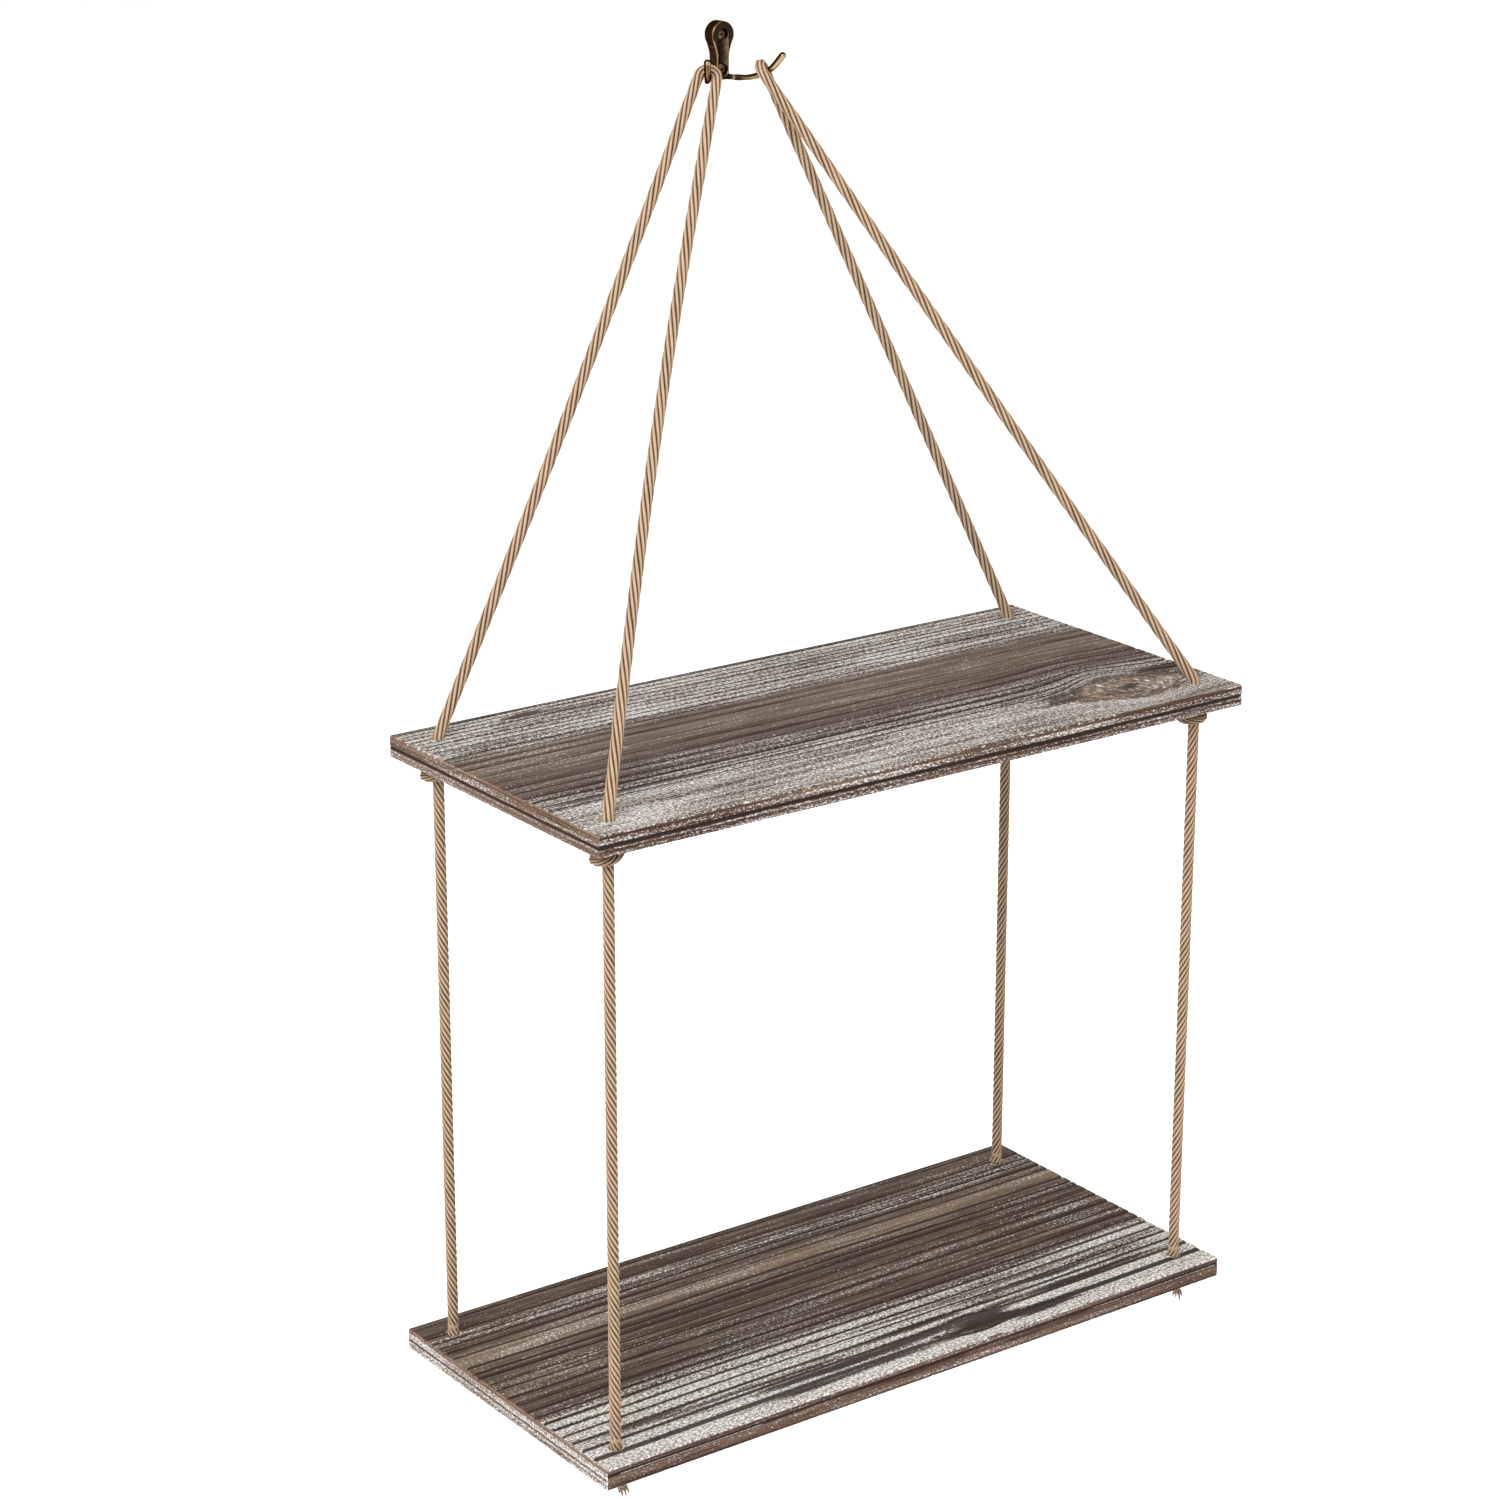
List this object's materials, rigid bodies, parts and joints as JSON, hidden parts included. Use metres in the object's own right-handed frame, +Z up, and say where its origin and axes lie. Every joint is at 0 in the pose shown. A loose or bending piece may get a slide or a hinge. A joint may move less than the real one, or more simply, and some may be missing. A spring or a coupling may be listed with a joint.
{
  "type": "hanging rope shelf",
  "caption": "Hanging rope shelf: drilled whitewashed boards slung one below the other on knotted cords from a double wall hook.",
  "frame": {"origin": "on the wall, behind the middle of the hook's plate and halfway between its screws", "axes": "+Z up, +Y into the wall, +X to the right as seen from the room"},
  "size_m": [0.43, 0.2207, 0.74],
  "materials": {
    "board": "torched softwood with worn whitewash, matt",
    "cord": "laid cord, matt tan",
    "hook": "antique bronze, satin with worn golden edges",
    "screw": "bronzed, satin"
  },
  "bodies": {
    "wall_hook": {"hook": "hook", "screw_upper": "screw", "screw_lower": "screw"},
    "upper_tier": {"board_upper": "board", "sling_left": "cord", "sling_right": "cord", "knot_front_left": "cord", "knot_rear_left": "cord", "knot_front_right": "cord", "knot_rear_right": "cord"},
    "front_necks": {"neck_front_left": "cord", "neck_front_right": "cord"},
    "rear_necks": {"neck_rear_left": "cord", "neck_rear_right": "cord"},
    "drop_front_left": {"drop_front_left": "cord"},
    "drop_rear_left": {"drop_rear_left": "cord"},
    "drop_front_right": {"drop_front_right": "cord"},
    "drop_rear_right": {"drop_rear_right": "cord"},
    "foot_front_left": {"foot_front_left": "cord"},
    "foot_rear_left": {"foot_rear_left": "cord"},
    "foot_front_right": {"foot_front_right": "cord"},
    "foot_rear_right": {"foot_rear_right": "cord"},
    "lower_tier": {"board_lower": "board", "end_front_left": "cord", "end_rear_left": "cord", "end_front_right": "cord", "end_rear_right": "cord"}
  },
  "joints": [
    {"name": "shelf_swing", "type": "hinge", "parent": "wall_hook", "child": "upper_tier", "pos_m": [0, -0.0186, -0.012], "axis": [-1, 0, 0], "range_deg": [0, 20]},
    {"name": "front_necks_bend", "type": "hinge", "parent": "upper_tier", "child": "front_necks", "pos_m": [0, -0.182, -0.3712], "axis": [1, 0, 0], "range_deg": [-15, 15]},
    {"name": "rear_necks_bend", "type": "hinge", "parent": "upper_tier", "child": "rear_necks", "pos_m": [0, -0.02, -0.3712], "axis": [1, 0, 0], "range_deg": [-15, 15]},
    {"name": "drop_front_left_sway", "type": "hinge", "parent": "front_necks", "child": "drop_front_left", "pos_m": [-0.1967, -0.182, -0.3775], "axis": [0, 1, 0], "range_deg": [-15, 15]},
    {"name": "drop_rear_left_sway", "type": "hinge", "parent": "rear_necks", "child": "drop_rear_left", "pos_m": [-0.1967, -0.02, -0.3775], "axis": [0, 1, 0], "range_deg": [-15, 15]},
    {"name": "drop_front_right_sway", "type": "hinge", "parent": "front_necks", "child": "drop_front_right", "pos_m": [0.1967, -0.182, -0.3775], "axis": [0, 1, 0], "range_deg": [-15, 15]},
    {"name": "drop_rear_right_sway", "type": "hinge", "parent": "rear_necks", "child": "drop_rear_right", "pos_m": [0.1967, -0.02, -0.3775], "axis": [0, 1, 0], "range_deg": [-15, 15]},
    {"name": "foot_front_left_sway", "type": "hinge", "parent": "drop_front_left", "child": "foot_front_left", "pos_m": [-0.1967, -0.182, -0.6834], "axis": [0, 1, 0], "range_deg": [-15, 15]},
    {"name": "foot_rear_left_sway", "type": "hinge", "parent": "drop_rear_left", "child": "foot_rear_left", "pos_m": [-0.1967, -0.02, -0.6834], "axis": [0, 1, 0], "range_deg": [-15, 15]},
    {"name": "foot_front_right_sway", "type": "hinge", "parent": "drop_front_right", "child": "foot_front_right", "pos_m": [0.1967, -0.182, -0.6834], "axis": [0, 1, 0], "range_deg": [-15, 15]},
    {"name": "foot_rear_right_sway", "type": "hinge", "parent": "drop_rear_right", "child": "foot_rear_right", "pos_m": [0.1967, -0.02, -0.6834], "axis": [0, 1, 0], "range_deg": [-15, 15]},
    {"name": "lower_tier_bend", "type": "hinge", "parent": "foot_front_left", "child": "lower_tier", "pos_m": [-0.1967, -0.182, -0.6897], "axis": [1, 0, 0], "range_deg": [-15, 15]}
  ],
  "couplings": [
    {"joint": "rear_necks_bend", "follows": "front_necks_bend", "ratio": 1},
    {"joint": "lower_tier_bend", "follows": "front_necks_bend", "ratio": -1},
    {"joint": "drop_rear_left_sway", "follows": "drop_front_left_sway", "ratio": 1},
    {"joint": "drop_front_right_sway", "follows": "drop_front_left_sway", "ratio": 1},
    {"joint": "drop_rear_right_sway", "follows": "drop_front_left_sway", "ratio": 1},
    {"joint": "foot_front_left_sway", "follows": "drop_front_left_sway", "ratio": -1},
    {"joint": "foot_rear_left_sway", "follows": "drop_front_left_sway", "ratio": -1},
    {"joint": "foot_front_right_sway", "follows": "drop_front_left_sway", "ratio": -1},
    {"joint": "foot_rear_right_sway", "follows": "drop_front_left_sway", "ratio": -1}
  ]
}
